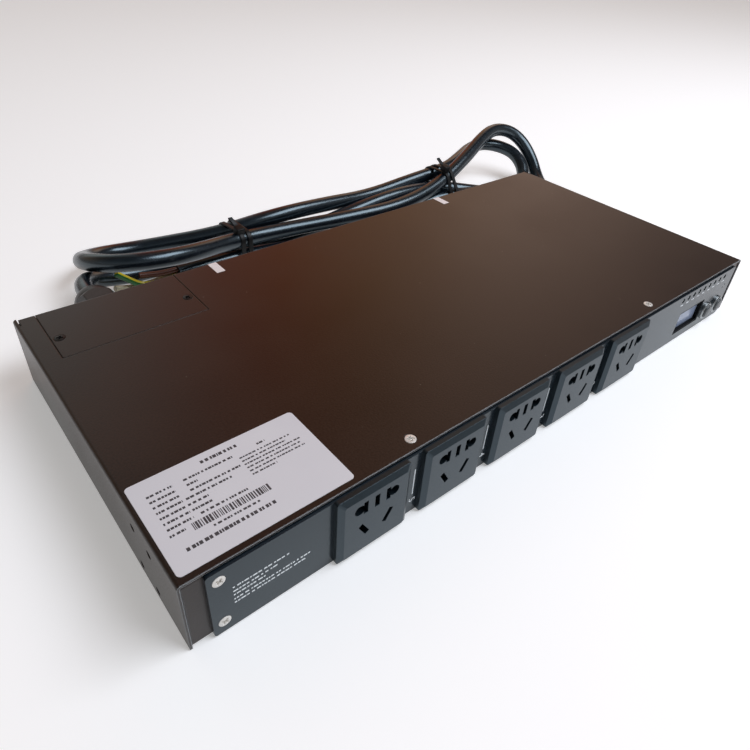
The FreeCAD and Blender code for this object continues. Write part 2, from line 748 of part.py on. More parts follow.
def make_jack_board():
    x0, x1 = jack_x - 40, jack_x + 30
    y0, y1 = y_rear - 60, y_rear - sheet - 1
    pts = [(x0, y0), (x1, y0), (x1, y1), (x0, y1)]
    board = profile([(x, y, jack_board_z) for x, y in pts], [2] * 4, (0, 0, board_thick))
    holes = [rod(1.6, (x, y, jack_board_z - 1), (x, y, jack_board_z + 3)) for x, y in jack_posts()]
    return board.cut(holes)


def jack_posts():
    """Places of the posts under the network board."""
    return [(jack_x + dx, y_rear + dy) for dx in (-36, 26) for dy in (-56, -7)]


def floor_posts(places, high):
    """Round pillars standing on the tray's floor."""
    posts = []
    for x, y in places:
        post = rod(3.0, (x, y, sheet), (x, y, high))
        posts.append(post.cut(rod(1.25, (x, y, sheet + 2), (x, y, high + 1))))
    return posts


def make_board_posts():
    relay_side = floor_posts(relay_posts(), relay_board[4])
    jack_side = floor_posts(jack_posts(), jack_board_z)
    return Part.makeCompound(relay_side + jack_side)


# Switching board with its relays, current rings and supply module
relay_left = -112.0
relay_wide = 208.0
relay_in = 57.2
relay_deep = 74.0
relay_board = (relay_left, relay_left + relay_wide, y_plate + relay_in, y_plate + relay_in + relay_deep, 9.0)
relay_size = (28.5, 12.6, 15.6)
relay_pitch = 38.0
relays_x = [relay_left + 26 + relay_pitch * i for i in range(socket_count)]
relay_step = 32.0
ring_step = 13.0
supply_size = (52.0, 20.0, 20.0)
supply_edge = 4.0


def relay_posts():
    """Places of the posts under the switching board."""
    x0, x1, y0, y1, z0 = relay_board
    return [(x, y) for x in (x0 + 6, (x0 + x1) / 2, x1 - 6) for y in (y0 + 6, y1 - 6)]


def make_relay_board():
    x0, x1, y0, y1, z0 = relay_board
    pts = [(x0, y0), (x1, y0), (x1, y1), (x0, y1)]
    board = profile([(x, y, z0) for x, y in pts], [3] * 4, (0, 0, board_thick))
    return board.cut([rod(1.6, (x, y, z0 - 1), (x, y, z0 + 3)) for x, y in relay_posts()])


def make_relays():
    z0 = relay_board[4] + board_thick
    long, deep, tall = relay_size
    relays = []
    y0 = relay_board[2] + relay_step
    for x in relays_x:
        block = box(x - long / 2, x + long / 2, y0, y0 + deep, z0, z0 + tall)
        edges = [e for e in block.Edges if e.CenterOfMass.z > z0 + 1]
        relays.append(block.makeFillet(0.8, edges))
    return Part.makeCompound(relays)


def make_current_rings():
    z0 = relay_board[4] + board_thick
    rings = []
    y, r = relay_board[2] + ring_step, 7.5
    for x in relays_x:
        pts = [(x - 4, y, z0 + r - 3.0), (x + 4, y, z0 + r - 3.0), (x + 4, y, z0), (x - 4, y, z0)]
        rings.append(turned(pts, (x, y, z0 + r), (1, 0, 0)))
    return Part.makeCompound(rings)


def make_supply_module():
    z0 = relay_board[4] + board_thick
    x1, y1 = relay_board[1] - supply_edge, relay_board[3] - supply_edge
    wide, deep, tall = supply_size
    block = box(x1 - wide, x1, y1 - deep, y1, z0, z0 + tall)
    return block.makeFillet(1.5, [e for e in block.Edges if e.CenterOfMass.z > z0 + 1])


# Barrier terminal block behind the gland, under the access cover
block_x = gland_x
block_in = 41.8
block_y = y_rear - block_in
block_high = 22.0
block_pitch = 14.0
stud_in = 16.5
stud_gap = 30.8


def make_terminal_block():
    wide = 3 * block_pitch + 3
    y0, y1 = block_y - 11, block_y + 11
    pts = [(y0, sheet), (y1, sheet), (y1, sheet + 10), (y1 - 6, sheet + 10), (y1 - 6, block_high)]
    pts += [(y0 + 6, block_high), (y0 + 6, sheet + 10), (y0, sheet + 10)]
    block = profile([(block_x - wide / 2, y, z) for y, z in pts], [0, 0, 1, 1, 1, 1, 1, 1], (wide, 0, 0))
    wells = []
    fins = []
    for i in range(3):
        x = block_x + block_pitch * (i - 1)
        wells.append(rod(3.0, (x, block_y, block_high - 9), (x, block_y, block_high + 1)))
    for i in range(4):
        x = block_x + block_pitch * (i - 1.5)
        fins.append(box(x - 1, x + 1, y0, y1, sheet + 6, block_high))
    return joined(block, fins).cut(wells)


def make_terminal_screws():
    screws = []
    for i in range(3):
        x = block_x + block_pitch * (i - 1)
        shank = rod(2.0, (x, block_y, block_high - 9), (x, block_y, block_high - 4))
        head = rod(2.9, (x, block_y, block_high - 5.5), (x, block_y, block_high - 3))
        slot = box(x - 0.5, x + 0.5, block_y - 4, block_y + 4, block_high - 4, block_high - 2)
        screws.append(joined(shank, [head]).cut(slot))
    return Part.makeCompound(screws)


def make_inner_cores():
    """Three cores from the lead's inner end down to the terminal block."""
    start = y_rear - sheet - 9
    cores = []
    for i, (dx, dz) in enumerate(((-2.6, -1.4), (0.0, 2.9), (2.6, -1.4))):
        x = block_x + block_pitch * (i - 1)
        pts = [(gland_x + dx, start, gland_z + dz), (gland_x + dx, start - 7, gland_z + dz)]
        pts += [(x * 0.5 + (gland_x + dx) * 0.5, start - 13, 19.5), (x, block_y + 15, sheet + 13.4)]
        pts.append((x, block_y + 5.6, sheet + 13.0))
        cores.append(tube(pts, core))
    return Part.makeCompound(cores)


def make_earth_stud():
    x, y = stud_in - tray_half, y_access - stud_gap
    stud = rod(2.5, (x, y, sheet), (x, y, 16))
    lock = hexagon(8.0, 0, 0, 4, 0)
    lock.rotate(V(0, 0, 0), V(1, 0, 0), 90)
    lock.translate(V(x, y, sheet + 1.2))
    washer = rod(5.0, (x, y, sheet), (x, y, sheet + 1.2))
    return joined(stud, [lock, washer])


def make_ear_nuts():
    nuts = []
    inner = case_width / 2 - sheet
    for side in (-1, 1):
        for y, z in ear_places():
            body = rod(ear_nut, (side * inner, y, z), (side * (inner - ear_nut_long), y, z))
            nuts.append(body.cut(rod(ear_hole, (side * (inner + 1), y, z), (side * (inner - 6), y, z))))
    return Part.makeCompound(nuts)


def make_label():
    x0, y0 = label_x - label_wide / 2, y_edge + label_in - label_deep / 2
    pts = [(x0, y0), (x0 + label_wide, y0), (x0 + label_wide, y0 + label_deep), (x0, y0 + label_deep)]
    return profile([(x, y, case_height) for x, y in pts], [label_corner] * 4, (0, 0, film))


def make_seals():
    """Paper strips over the rear edge, from the top down across the lip to the rear wall."""
    top, low = case_height, case_height - rear_lip
    over = [(y_back - seal_top, top + film), (y_back + film, top + film), (y_back + film, low)]
    over += [(y_rear + film, low - 2.5), (y_rear + film, low - 9)]
    under = [(y_rear, low - 9), (y_rear, low - 2.5), (y_back, low), (y_back, top), (y_back - seal_top, top)]
    radii = [0, bend_out + film, 0, 0, 0, 0, 0, 0, bend_out, 0]
    strips = []
    for x in seal_x:
        pts = [(x - seal_wide / 2, y, z) for y, z in over + under]
        strips.append(profile(pts, radii, (seal_wide, 0, 0)))
    return Part.makeCompound(strips)


# Mains lead: from the gland round to the tied hank, and out of it again to the cut end
lead_out = [(-170, 31, 22), (-170, 49, 22), (-162, 65.5, 17), (-145.5, 72.5, 10), (-126, 73, 6.8)]
lead_out += [(-105, 73, 6.6), (-82, 73, 6.6), (-61, 70.5, 6.8)]
lead_tail = [(-62, 57.5, 7), (-82, 58.5, 6.8), (-101, 58.5, 6.8)]
left_loop = [(-34, 69, 20.5), (-60, 84.5, 15.5), (-88, 102, 9.2), (-121, 114, 7), (-145, 104.5, 13)]
left_loop += [(-159.5, 82, 24), (-154.5, 54, 33.6), (-131, 38, 36.8), (-96, 38.5, 31.7), (-60, 50, 24.5)]
left_loop.append((-34, 55, 20.5))
low_loop = [(160, 58, 19), (197, 44, 13.5), (230, 27.5, 8.5), (258, 24.5, 6.9), (281, 42, 10), (290, 69, 25)]
low_loop += [(279, 92, 34.5), (252, 100, 33.8), (225, 89, 33.3), (196, 74, 32), (165, 66, 27.5)]
high_loop = [(162, 49.5, 28), (196, 58, 36.4), (231, 72, 46), (262, 81.5, 51), (291, 79.5, 47.5)]
high_loop += [(305.5, 64.5, 32.5), (304, 46, 17.5), (291, 26.5, 8.5), (266, 10, 6.9), (240, 10.3, 9.5)]
high_loop += [(206, 26.5, 12.5), (162, 46, 13.5)]

# Sections of the tied stretch: x, then depth from and to, then height from and to
bundle = [(-62, 49, 79.5, 0.4, 29.0), (-50, 49, 77, 0.4, 27.5), (-34, 49, 77, 0.4, 27.5)]
bundle += [(0, 39, 72.5, 0.4, 32.0), (60, 34, 75.5, 0.4, 29.5), (120, 34, 78, 1.0, 30.0)]
bundle += [(158, 37.5, 71, 7.5, 36.0), (176, 37.5, 71, 7.5, 36.0), (184, 37.5, 72, 7.5, 37.0)]
bundle_corner = 7.0
tie_x = (-47.5, 167.0)
tie_wide = 4.8
tie_thick = 1.5


def make_lead_entry():
    """Straight stretch of the lead through the gland."""
    return rod(lead / 2, (gland_x, y_rear - sheet - 9, gland_z), (gland_x, y_back + lead_out[0][1], gland_z))


def octagon(x, y0, y1, z0, z1, grow):
    """Outline of the tied strands, a box with cut corners, grown outwards by a thickness."""
    a, b = y_back + y0 - grow, y_back + y1 + grow
    c, d = z0 - grow, z1 + grow
    k = bundle_corner + grow * 0.6
    pts = [(a + k, c), (b - k, c), (b, c + k), (b, d - k), (b - k, d), (a + k, d), (a, d - k), (a, c + k)]
    return Part.makePolygon([V(x, y, z) for y, z in pts + pts[:1]])


def make_hank():
    bar = Part.makeLoft([octagon(*section, 0) for section in bundle], True, True)
    loops = [tube(behind(points), lead) for points in (left_loop, low_loop, high_loop)]
    return bar.fuse(loops)


def make_tie(x):
    section = [s for s in bundle if s[0] <= x][-1]
    size = (section[1], section[2], section[3], section[4])
    start = x - tie_wide / 2
    outer = Part.Face(octagon(start, *size, tie_thick)).extrude(V(tie_wide, 0, 0))
    inner = Part.Face(octagon(start - 1, *size, 0)).extrude(V(tie_wide + 2, 0, 0))
    ring = outer.cut(inner)
    y = y_back + section[1] + 11
    head = upright(x, section[4] + tie_thick + 1.6, 7.4, 5.2, 0.6, y - 3.5, y + 3.5)
    ring = joined(ring, [head])
    floor = box(x - 9, x + 9, y_back, y_back + 120, -5, 0.05)
    return ring.cut(floor)


core_start = lead_tail[-1]
core_routes = {
    "core_live": [(0.2, 2.7), (-115, 59.8, 9.6), (-122, 61.5, 10.2), (-128, 62.5, 11)],
    "core_earth": [(-2.5, -1.5), (-119, 57, 4.2), (-129, 58.5, 5.5), (-137, 60, 12), (-144, 60.5, 18.5)],
    "core_neutral": [(2.5, -1.5), (-117, 62, 3), (-128, 62.4, 2.8), (-138, 61, 4.5), (-147, 59.5, 8)],
}


def make_core(name):
    offset = core_routes[name][0]
    x, y, z = core_start
    first = (x, y + offset[0], z + offset[1])
    second = (x - 5, y + offset[0], z + offset[1])
    return tube(behind([first, second] + core_routes[name][1:]), core)


parts = {
    "chassis_tray": make_tray(),
    "top_cover": make_cover(),
    "access_cover": make_access_cover(),
    "access_ledge": make_access_ledge(),
    "front_plate": make_front_plate(),
    "bus_bars": make_bars(),
    "bar_holders": make_bar_holders(),
    "panel_board": make_panel_board(),
    "panel_posts": make_panel_posts(),
    "display_glass": make_glass(),
    "display_frame": make_display_frame(),
    "display_backlight": make_backlight(),
    "indicator_lamps": make_lamps(),
    "lamp_holder": make_lamp_holder(),
    "button_nuts": make_button_nuts(),
    "button_switches": make_switches(),
    "gland_body": make_gland_body(),
    "gland_nut": make_gland_nut(),
    "gland_seal": make_gland_seal(),
    "gland_locknut": make_gland_locknut(),
    "network_jack": make_jack(),
    "network_board": make_jack_board(),
    "relay_board": make_relay_board(),
    "relays": make_relays(),
    "current_rings": make_current_rings(),
    "supply_module": make_supply_module(),
    "board_posts": make_board_posts(),
    "terminal_block": make_terminal_block(),
    "terminal_screws": make_terminal_screws(),
    "inner_cores": make_inner_cores(),
    "earth_stud": make_earth_stud(),
    "ear_nuts": make_ear_nuts(),
    "rating_label": make_label(),
    "seal_strips": make_seals(),
    "lead_entry": make_lead_entry(),
    "lead_out": tube(behind(lead_out), lead),
    "lead_tail": tube(behind(lead_tail), lead),
    "lead_hank": make_hank(),
    "lead_tie_left": make_tie(tie_x[0]),
    "lead_tie_right": make_tie(tie_x[1]),
}

top_y = y_edge + top_screw_in
lip_z = case_height - lip_screw_drop
access_y = y_back - access_screw_in
cover_screws = [screw((x, top_y, case_height), (0, 0, -1), 7) for x in (-top_screw_x, top_screw_x)]
cover_screws += [screw((x, y_back, lip_z), (0, -1, 0), 7) for x in lip_screw_x]
access_screws = [screw((x, access_y, case_height), (0, 0, -1), 6) for x in access_screw_x]
plate_screws = [screw((plate_screw_x, y_plate, z), (0, 1, 0), 8) for z in plate_screw_z]
parts["cover_screws"] = Part.makeCompound(cover_screws)
parts["access_screws"] = Part.makeCompound(access_screws)
parts["plate_screws"] = Part.makeCompound(plate_screws)
for number, x in enumerate(sockets_x, 1):
    parts["socket_%d" % number] = make_socket(x)
    parts["socket_%d_contacts" % number] = make_contacts(x)
for number, x in enumerate(button_x, 1):
    parts["button_%d_bezel" % number] = make_bezel(x)
    parts["button_%d_cap" % number] = make_cap(x)
for name in core_routes:
    parts[name] = make_core(name)

os.makedirs("parts", exist_ok=True)
for name, shape in parts.items():
    shape.exportStep("parts/%s.step" % name)
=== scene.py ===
import math
import bmesh
import bpy
import numpy as np
from mathutils import Matrix, Quaternion, Vector


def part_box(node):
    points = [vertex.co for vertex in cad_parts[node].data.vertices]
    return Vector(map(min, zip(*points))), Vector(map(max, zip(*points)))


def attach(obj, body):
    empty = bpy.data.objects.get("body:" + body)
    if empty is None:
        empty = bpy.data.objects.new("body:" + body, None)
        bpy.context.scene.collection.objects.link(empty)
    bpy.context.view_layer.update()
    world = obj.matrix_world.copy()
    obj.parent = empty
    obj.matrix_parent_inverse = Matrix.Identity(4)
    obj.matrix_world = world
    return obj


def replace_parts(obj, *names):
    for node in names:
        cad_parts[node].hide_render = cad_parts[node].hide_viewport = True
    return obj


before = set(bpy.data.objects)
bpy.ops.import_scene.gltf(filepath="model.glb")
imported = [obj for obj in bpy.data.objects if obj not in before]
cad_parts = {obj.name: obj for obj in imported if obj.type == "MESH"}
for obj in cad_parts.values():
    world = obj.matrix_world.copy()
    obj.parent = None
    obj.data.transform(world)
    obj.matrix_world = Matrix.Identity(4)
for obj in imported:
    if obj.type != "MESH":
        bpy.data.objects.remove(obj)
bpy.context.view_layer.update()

# Rack power strip one unit high, with a tied mains lead behind it.
# The frame is in metres; sizes below are in millimetres and become metres with MM.
MM = 0.001
case_low, case_high = (np.array(corner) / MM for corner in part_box("top_cover"))
case_front, case_back, case_top = case_low[1], case_high[1], case_high[2]
plate_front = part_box("front_plate")[0][1] / MM
label_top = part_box("rating_label")[1][2] / MM

# Camera: where it stands, how far it is turned round the object, its height angle and its roll
CAMERA_PLACE = (-253.50, -233.68, 244.11)
CAMERA_TURN = -41.979
CAMERA_RISE = 36.507
CAMERA_ROLL = 4.197
CAMERA_LENS = 29.683
CAMERA_SHIFT = (-0.0031, -0.0348)

# Mains lead: real sizes, its route with depths counted from the case's back face, and the steps in
# which it is drawn
LEAD_SIZE = 12.5
LEAD_OUT = [(-170, 31, 22), (-170, 49, 22), (-162, 65.5, 17), (-145.5, 72.5, 10), (-126, 73, 6.8),
            (-105, 73, 6.6), (-82, 73, 6.6)]
FIRST_PASS = [(-36, 66, 6.5), (16, 61.5, 9), (67, 57, 18.5), (118, 57, 22.5), (168, 59.5, 17)]
LOW_LOOP = [(212.5, 33.5, 10), (241, 24, 7.5), (262, 28, 6.8), (275.5, 40, 9.5), (285, 51.5, 18.5),
            (288, 68.5, 27), (279.5, 85, 31), (262.5, 94.5, 33), (241, 91.5, 31.5), (214, 78, 31.5)]
SECOND_PASS = [(183, 66, 29.5), (142, 69.5, 25.5), (90, 71, 20), (39, 67.5, 25.5), (-13, 64.5, 28.5),
               (-56, 78, 18.5)]
LEFT_LOOP = [(-97, 107.5, 7), (-124, 113, 7), (-142, 108, 11), (-154.5, 96, 17), (-159.5, 80, 24.5),
             (-158, 62, 31), (-147.5, 45.5, 34.5), (-130, 36, 35.5), (-101.5, 36, 32)]
THIRD_PASS = [(-54, 56, 21.5), (-4, 55, 19), (47, 44.5, 20), (98.5, 38.5, 20), (150, 45.5, 24.5),
              (198.5, 58.5, 37.5)]
HIGH_LOOP = [(246, 77, 49.5), (271.5, 83, 50.5), (290, 77.5, 46), (299.5, 66, 35.5), (299.5, 51, 22),
             (292, 36, 10.5), (281.5, 19.5, 6.8), (263, 8.5, 7), (235, 9.5, 11)]
LAST_PASS = [(189, 33.5, 16.5), (141, 50, 11.5), (90, 44, 6.5), (38, 39, 6.5), (-13, 48, 6.5),
             (-63, 58.5, 6.8)]
LEAD_END = (-101, 58.5, 6.8)
LEAD_ROUTE = (LEAD_OUT + FIRST_PASS + LOW_LOOP + SECOND_PASS + LEFT_LOOP + THIRD_PASS + HIGH_LOOP
              + LAST_PASS + [LEAD_END])
SMOOTH_ALONG = 12
SMOOTH_ROUND = 6

# Cores at the lead's cut end: how far each starts inside the sheath and runs straight out of it, its
# offset across the end with the rest of its route, and the angle in radians that a stripe faces
CORE_SIZE = 4.4
CORE_INSIDE = 3.0
CORE_STRAIGHT = 5.0
CORE_ROUTES = {
    "core_live": [(0.2, 2.7), (-115, 59.8, 9.6), (-122, 61.5, 10.2), (-128, 62.5, 11)],
    "core_earth": [(-2.5, -1.5), (-119, 57, 4.2), (-129, 58.5, 5.5), (-137, 60, 12), (-144, 60.5, 18.5)],
    "core_neutral": [(2.5, -1.5), (-117, 62, 3), (-128, 62.4, 2.8), (-138, 61, 4.5), (-147, 59.5, 8)],
}
STRIPE_FACING = 0.9

# Cable ties: the places of their bands along the tied stretch, the sizes of band, head and tail, and
# the least height of a band. The head's power squares it, and its lift in radians ends short of a pole.
TIE_BANDS = {"lead_tie_left": (-50.7, -44.3), "lead_tie_right": (164.0, 170.2)}
TIE_WIDE = 3.6
TIE_THICK = 1.2
TIE_EASE = 0.3
TIE_HEAD = (7.2, 5.4, 7.0)
TIE_HEAD_ANGLE = 100.0
TIE_HEAD_SUNK = 0.6
TIE_HEAD_POWER = 0.3
TIE_HEAD_LIFT = 1.45
TAIL_LONG = 9.0
TAIL_WIDE = 3.2
TAIL_THICK = 1.0
TAIL_START = 3.0
TAIL_LIFT = 5.0
TAIL_DRIFT = 3.0
FLOOR_CLEAR = 0.05

# Screws: head, cross recess with its eased edges, and each one's place with the way that it faces
HEAD_RADIUS = 2.8
HEAD_MIDDLE = 0.08
HEAD_DOME = 0.35
HEAD_RIM = 0.15
SHANK_RADIUS = 1.5
CONE_DEEP = 1.7
SCREW_LONG = 6.0
CROSS_LONG = 1.75
CROSS_WIDE = 0.45
CROSS_DEEP = 1.1
CROSS_END_EASE = 0.4
CROSS_SIDE_EASE = 0.25
FACING = {"up": (0, 0, 1), "back": (0, 1, 0), "front": (0, -1, 0)}
SCREWS = {
    "cover_screws": [(-102.5, case_front + 6.5, case_top, "up"), (102.5, case_front + 6.5, case_top, "up"),
                     (-112.0, case_back, case_top - 6, "back"), (200.0, case_back, case_top - 6, "back")],
    "access_screws": [(-204.6, case_back - 30.6, case_top, "up"),
                      (-131.4, case_back - 30.6, case_top, "up")],
    "plate_screws": [(-204.9, plate_front, 7.1, "front"), (-204.9, plate_front, 34.2, "front")],
}

# Print on the front plate: ink thickness, rows of dashes as height and length, numbers and rules
# beside the sockets, ticks under the lamps
INK = 0.04
PLATE_ROWS = [(25.5, 25.6), (22.9, 20.2), (20.6, 14.3), (17.8, 35.8), (15.5, 33.4)]
PLATE_ROW_X = -199.9
PLATE_ROW_TALL = 0.8
PLATE_DASH = (0.7, 2.2)
PLATE_GAPS = (0.4, 0.4, 1.0)
PLATE_SEED = 11
SOCKET_COUNT = 5
SOCKET_PITCH = 50.0
NUMBER_X = -105.2
NUMBER_Z = 9.0
NUMBER_TALL = 5.6
RULE_WIDE = 0.6
RULE_SPAN = (13.2, 30.2)
LAMP_COUNT = 9
LAMP_PITCH = 7.3
LAMP_X = 136.8
LAMP_MARK = (3.2, 0.8)
LAMP_MARK_Z = 32.7

# Print on the label: a single line is its first x, its y, its length and its height
LABEL_TITLE = (-185.9, -50.3, 17.5, 1.7)
LABEL_FOOT = (-209.9, -87.3, 39.3, 1.7)
LABEL_NAME_X = -212.0
LABEL_NAME_LONG = 11.0
LABEL_VALUES = [(-196.1, 22.7), (-196.1, 4.8), (-196.1, 23.7), (-199.5, 20.7), (-200.2, 8.9),
                (-199.9, 8.9), (-197.9, 21.0)]
LABEL_VALUE_Y = -55.3
LABEL_VALUE_PITCH = 3.27
LABEL_VALUE_TALL = 1.1
LABEL_NOTE_TITLE = (-160.9, -54.8, 4.0, 1.1)
LABEL_NOTE = (25.2, 21.8, 28.2, 26.8, 27.9, 12.1)
LABEL_NOTE_X = -171.3
LABEL_NOTE_Y = -58.1
LABEL_NOTE_PITCH = 2.25
LABEL_NOTE_TALL = 0.8
LABEL_DASH = (0.6, 1.7)
LABEL_GAPS = (0.35, 0.35, 0.9)
LABEL_SEED = 7
STRIPES_NAME = (-212.5, -78.3, 6.5, 1.1)
STRIPES_FOOT = (-196.6, -83.2, 20.5, 1.0)
STRIPES_X = (-203.3, -169.0)
STRIPES_Y = (-81.0, -77.2)
STRIPE_WIDTHS = (0.35, 0.6, 0.9)
STRIPE_GAPS = (0.35, 0.6)

# Radii by which the finishes ease edges to the eye: of moulded and cut pieces, and of coated sheet
EDGE = 0.3
BEND = 0.9
# The painted highlight on the coat's front edges is full as far as the first distance behind the case's
# front, and fades out at the second
EDGE_HIGHLIGHT_REACH = (2.0, 4.0)
# Edges of new pieces that bend by more degrees than this stay sharp
SHARP_ANGLE = 35.0

# Room round the studio: the direction in degrees from +X towards +Y, and the colour seen there.
# Near the horizon it is plain grey, and overhead it is dimmer; heights are the Z of a direction.
WALLS = [(-120, "#828486"), (-30, "#747271"), (15, "#322c2e"), (36, "#ffd8c0"), (49, "#d49a66"),
         (62, "#c44a00"), (84, "#d8dfdc"), (120, "#8e755f")]
HORIZON = "#787371"
HORIZON_SPAN = (0.1, 0.35)
DIMMING_SPAN = (0.3, 0.75)
ROOM_STRENGTH = (1.6, 0.44)

# Key light in metres, and the floor's reach, depth and glow
KEY_PLACE = (0.7, -0.65, 1.35)
KEY_AIM = (0.1, 0.1, 0.0)
KEY_SIZE = (1.35, 0.75)
KEY_WATTS = 21.0
KEY_COLOUR = "#f1f6ff"
FLOOR_REACH = 4000.0
FLOOR_DROP = 0.3
FLOOR_GLOW = 0.31


def linear(colour):
    """sRGB hex colour as linear red, green, blue and full alpha: each channel through the sRGB curve."""
    parts = np.array([int(colour[i:i + 2], 16) / 255 for i in (1, 3, 5)])
    curve = np.where(parts <= 0.04045, parts / 12.92, ((parts + 0.055) / 1.055) ** 2.4)
    return (*(float(c) for c in curve), 1.0)


def per_size(size):
    """Scale of a pattern whose features are this many millimetres across."""
    return 1 / (size * MM)


def add(holder, kind, inputs, **settings):
    """One shader node in a material or the world: its settings, and for each input a value or the
    socket that feeds it."""
    tree = holder.node_tree
    node = tree.nodes.new("ShaderNode" + kind)
    for name, value in settings.items():
        setattr(node, name, value)
    for name, value in inputs.items():
        if isinstance(value, bpy.types.NodeSocket):
            tree.links.new(value, node.inputs[name])
        else:
            node.inputs[name].default_value = value
    return node


def start(name, **values):
    """New material with a Principled shader; the values go on the shader's own sockets."""
    material = bpy.data.materials.new(name)
    material.use_nodes = True
    shader = material.node_tree.nodes["Principled BSDF"]
    for key, value in values.items():
        shader.inputs[key.replace("_", " ")].default_value = value
    return material, shader


def feed(holder, shader, **sockets):
    """Links sockets into the shader's inputs of those names."""
    for key, socket in sockets.items():
        holder.node_tree.links.new(socket, shader.inputs[key.replace("_", " ")])


def grained(name, dark, light, grain, smooth, rough, relief, **values):
    """Surface with an even grain: noise of the grain's size in millimetres mixes two close colours,
    sets the roughness between two values and raises a low relief in millimetres. Most real grains are
    finer, and are drawn as coarse as they need to be to show."""
    material, shader = start(name, **values)
    place = add(material, "TexCoord", {}).outputs["Object"]
    noise = add(material, "TexNoise", {"Vector": place, "Scale": per_size(grain), "Detail": 3.0})
    even = add(material, "MapRange", {"Value": noise.outputs["Fac"], "From Min": 0.3, "From Max": 0.7})
    tone = add(material, "MixRGB", {"Fac": even.outputs["Result"], "Color1": linear(dark),
                                    "Color2": linear(light)})
    gloss = add(material, "MapRange", {"Value": even.outputs["Result"], "To Min": smooth, "To Max": rough})
    eased = add(material, "Bevel", {"Radius": EDGE * MM})
    bump = add(material, "Bump", {"Height": noise.outputs["Fac"], "Distance": relief * MM,
                                  "Normal": eased.outputs["Normal"]})
    feed(material, shader, Base_Color=tone.outputs["Color"], Roughness=gloss.outputs["Result"],
         Normal=bump.outputs["Normal"])
    return material


def powder_coat():
    """Polyester powder coat, sprayed and baked on sheet steel: satin warm black with an orange-peel
    grain, softly cloudy gloss, a few specks of dust, and a painted highlight along the front edges:
    pale grey where the eased normal leans away from the flat one. The grain is drawn at 1 mm so that it
    shows."""
    material, shader = start("powder_coat_black", IOR=1.45)
    place = add(material, "TexCoord", {}).outputs["Object"]
    grain = add(material, "TexNoise", {"Vector": place, "Scale": per_size(1.0), "Detail": 2.0})
    cloud = add(material, "TexNoise", {"Vector": place, "Scale": per_size(80.0), "Detail": 2.0})
    blend = add(material, "Math", {0: grain.outputs["Fac"], 1: cloud.outputs["Fac"]}, operation="MULTIPLY")
    even = add(material, "MapRange", {"Value": blend.outputs["Value"], "From Min": 0.12, "From Max": 0.4})
    tone = add(material, "MixRGB", {"Fac": even.outputs["Result"], "Color1": linear("#201510"),
                                    "Color2": linear("#302119")})
    dust = add(material, "TexVoronoi", {"Vector": place, "Scale": per_size(14.0)})
    speck = add(material, "MapRange", {"Value": dust.outputs["Distance"], "From Min": 0.018,
                                       "From Max": 0.034, "To Min": 0.5, "To Max": 0.0})
    dusted = add(material, "MixRGB", {"Fac": speck.outputs["Result"], "Color1": tone.outputs["Color"],
                                      "Color2": linear("#8c8478")})
    gloss = add(material, "MapRange", {"Value": even.outputs["Result"], "To Min": 0.30, "To Max": 0.40})
    eased = add(material, "Bevel", {"Radius": BEND * MM})
    flat = add(material, "NewGeometry", {}).outputs["Normal"]
    bent = add(material, "VectorMath", {0: eased.outputs["Normal"], 1: flat}, operation="DOT_PRODUCT")
    depth = add(material, "SeparateXYZ", {"Vector": place}).outputs["Y"]
    # Painted highlight: near the case's front, edges whose eased normal leans away are mixed towards pale
    # grey, as light caught on the bent sheet
    front = add(material, "MapRange", {"Value": depth, "From Min": (case_front + EDGE_HIGHLIGHT_REACH[1]) * MM,
                                       "From Max": (case_front + EDGE_HIGHLIGHT_REACH[0]) * MM})
    edge_highlight_mask = add(material, "MapRange", {"Value": bent.outputs["Value"], "From Min": 0.97, "From Max": 0.85,
                                      "To Max": front.outputs["Result"]})
    painted_edge_highlight = add(material, "MixRGB", {"Fac": edge_highlight_mask.outputs["Result"], "Color1": dusted.outputs["Color"],
                                    "Color2": linear("#b0b6b9")})
    bump = add(material, "Bump", {"Height": grain.outputs["Fac"], "Distance": 0.05 * MM,
                                  "Normal": eased.outputs["Normal"]})
    feed(material, shader, Base_Color=painted_edge_highlight.outputs["Color"], Roughness=gloss.outputs["Result"],
         Normal=bump.outputs["Normal"])
    return material


def pvc_sheath():
    """Flexible PVC drawn over twisted cores: near black, glossy with a soft bluish sheen, a slow
    swell from the cores under it and scuffs along its length."""
    material, shader = start("pvc_sheath_black", IOR=1.82, Specular_Tint=linear("#cfe4ee"))
    place = add(material, "TexCoord", {}).outputs["Object"]
    scuff = add(material, "TexNoise", {"Vector": place, "Scale": per_size(5.0), "Detail": 4.0,
                                       "Roughness": 0.7})
    swell = add(material, "TexNoise", {"Vector": place, "Scale": per_size(28.0), "Detail": 1.0})
    even = add(material, "MapRange", {"Value": scuff.outputs["Fac"], "From Min": 0.35, "From Max": 0.7})
    tone = add(material, "MixRGB", {"Fac": even.outputs["Result"], "Color1": linear("#0c1218"),
                                    "Color2": linear("#151c25")})
    gloss = add(material, "MapRange", {"Value": even.outputs["Result"], "To Min": 0.22, "To Max": 0.28})
    bump = add(material, "Bump", {"Height": swell.outputs["Fac"], "Distance": 0.8 * MM, "Strength": 0.35})
    feed(material, shader, Base_Color=tone.outputs["Color"], Roughness=gloss.outputs["Result"],
         Normal=bump.outputs["Normal"])
    return material


def earth_core():
    """PVC insulation of an earth core, green with a yellow stripe along it: the piece's own attribute
    says how far round the core a point is."""
    material, shader = start("pvc_core_striped", Roughness=0.35, IOR=1.53)
    around = add(material, "Attribute", {}, attribute_name="around")
    side = add(material, "MapRange", {"Value": around.outputs["Fac"], "From Min": -0.03, "From Max": 0.03})
    tone = add(material, "MixRGB", {"Fac": side.outputs["Result"], "Color1": linear("#1d6a2c"),
                                    "Color2": linear("#d8c51e")})
    feed(material, shader, Base_Color=tone.outputs["Color"])
    return material


